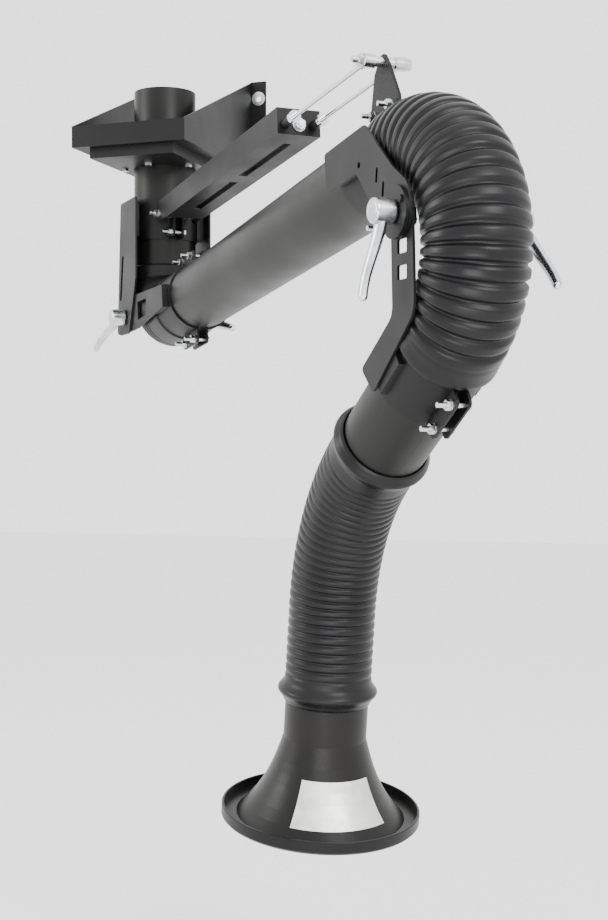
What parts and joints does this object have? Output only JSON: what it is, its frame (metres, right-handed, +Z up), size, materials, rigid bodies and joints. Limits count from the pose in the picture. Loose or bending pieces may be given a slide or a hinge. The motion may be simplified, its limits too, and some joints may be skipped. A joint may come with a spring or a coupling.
{
  "type": "fume extraction arm",
  "caption": "Wall-mounted, self-supporting fume extraction arm with ducts, outside linkage, sprung strut, clamp levers and a round flared hood.",
  "frame": {"origin": "centre of the four wall holes, on the wall face of the bracket", "axes": "+Y into the wall, +Z up, +X to the right when facing the wall"},
  "size_m": [0.9037, 0.971, 1.1208],
  "materials": {
    "black_paint": "satin",
    "duct_paint": "satin",
    "hood_paint": "satin",
    "hose": "satin",
    "black_plastic": "matt",
    "cast_silver": "polished cast",
    "zinc": "zinc plated",
    "bright_steel": "bright",
    "label": "satin"
  },
  "bodies": {
    "bracket": {"wall_bracket": "black_paint", "wall_washers": "zinc", "bearing_housing": "black_paint", "bearing_ring": "black_plastic", "housing_bolts": "zinc", "inlet_collar": "duct_paint"},
    "swivel": {"swivel_flange": "black_paint", "stub_duct": "duct_paint", "stub_clamp_left": "black_paint", "stub_clamp_right": "black_paint", "stub_clamp_bolts": "zinc", "tray_pivot_bolt": "zinc", "tray_spacers": "zinc", "shoulder_plate_left": "black_paint", "shoulder_plate_right": "black_paint", "shoulder_studs": "zinc", "shoulder_hose": "hose"},
    "arm": {"arm_duct": "duct_paint", "shoulder_clamp_left": "black_paint", "shoulder_clamp_right": "black_paint", "shoulder_clamp_bolts": "zinc", "arm_lug_left": "black_paint", "arm_lug_right": "black_paint", "elbow_clamp_left": "black_paint", "elbow_clamp_right": "black_paint", "elbow_clamp_bolts": "zinc", "elbow_plate_left": "black_paint", "elbow_plate_right": "black_paint", "elbow_disc_left": "black_paint", "elbow_disc_right": "black_paint", "elbow_studs": "zinc", "horn": "black_paint", "crossbar": "zinc", "rod_eyes": "zinc", "elbow_hose": "hose"},
    "forearm": {"elbow_link_left": "black_paint", "elbow_link_right": "black_paint", "forearm_duct": "duct_paint", "forearm_clamp_left": "black_paint", "forearm_clamp_right": "black_paint", "forearm_clamp_bolts": "zinc", "nozzle_hose": "hose"},
    "nozzle": {"hood": "hood_paint", "rim_trim": "black_plastic", "label_plate": "label"},
    "strut_tray": {"spring_tray": "black_paint", "tray_end_plate": "black_paint", "adjusting_screw": "zinc", "spring_anchor": "black_paint", "spring_cylinder_left": "black_paint", "spring_cylinder_right": "black_paint", "spring_collars": "bright_steel"},
    "strut_rods": {"spring_rod_left": "bright_steel", "spring_rod_right": "bright_steel"},
    "shoulder_lever_left_body": {"shoulder_lever_left": "cast_silver"},
    "shoulder_lever_right_body": {"shoulder_lever_right": "cast_silver"},
    "elbow_lever_left_body": {"elbow_lever_left": "cast_silver"},
    "elbow_lever_right_body": {"elbow_lever_right": "cast_silver"}
  },
  "joints": [
    {"name": "swivel_turn", "type": "hinge", "parent": "bracket", "child": "swivel", "pos_m": [0, -0.151, -0.084], "axis": [0, 0, 1], "range_deg": [-132.3, 47.7]},
    {"name": "shoulder_tilt", "type": "hinge", "parent": "swivel", "child": "arm", "pos_m": [-0.01009, -0.13991, -0.341], "axis": [-0.7396, -0.673, 0], "range_deg": [-25, 20], "deforming": ["shoulder_hose"]},
    {"name": "elbow_tilt", "type": "hinge", "parent": "arm", "child": "forearm", "pos_m": [0.65953, -0.87581, -0.31596], "axis": [-0.7396, -0.673, 0], "range_deg": [-15, 60], "deforming": ["elbow_hose"]},
    {"name": "hood_tilt", "type": "hinge", "parent": "forearm", "child": "nozzle", "pos_m": [0.46536, -0.66242, -0.64655], "axis": [-0.7396, -0.673, 0], "range_deg": [-35, 35], "deforming": ["nozzle_hose"]},
    {"name": "strut_tilt", "type": "hinge", "parent": "swivel", "child": "strut_tray", "pos_m": [0.04442, -0.19982, -0.178], "axis": [-0.7396, -0.673, 0], "range_deg": [-27.95, 22.4]},
    {"name": "strut_slide", "type": "slide", "parent": "strut_tray", "child": "strut_rods", "axis": [0.6707, -0.7371, 0.0825], "range_m": [-0.0551, 0.0686]},
    {"name": "shoulder_lever_left_turn", "type": "hinge", "parent": "swivel", "child": "shoulder_lever_left_body", "pos_m": [-0.06187, -0.18702, -0.341], "axis": [-0.7396, -0.673, 0], "range_deg": [-60, 60]},
    {"name": "shoulder_lever_right_turn", "type": "hinge", "parent": "swivel", "child": "shoulder_lever_right_body", "pos_m": [0.04168, -0.0928, -0.341], "axis": [-0.7396, -0.673, 0], "range_deg": [-60, 60]},
    {"name": "elbow_lever_left_turn", "type": "hinge", "parent": "arm", "child": "elbow_lever_left_body", "pos_m": [0.60775, -0.92292, -0.31596], "axis": [-0.7396, -0.673, 0], "range_deg": [-60, 60]},
    {"name": "elbow_lever_right_turn", "type": "hinge", "parent": "arm", "child": "elbow_lever_right_body", "pos_m": [0.7113, -0.8287, -0.31596], "axis": [-0.7396, -0.673, 0], "range_deg": [-60, 60]}
  ],
  "couplings": [
    {"joint": "strut_tilt", "follows": "shoulder_tilt", "ratio": 1.11},
    {"joint": "strut_slide", "follows": "shoulder_tilt", "m_per_rad": -0.155}
  ]
}
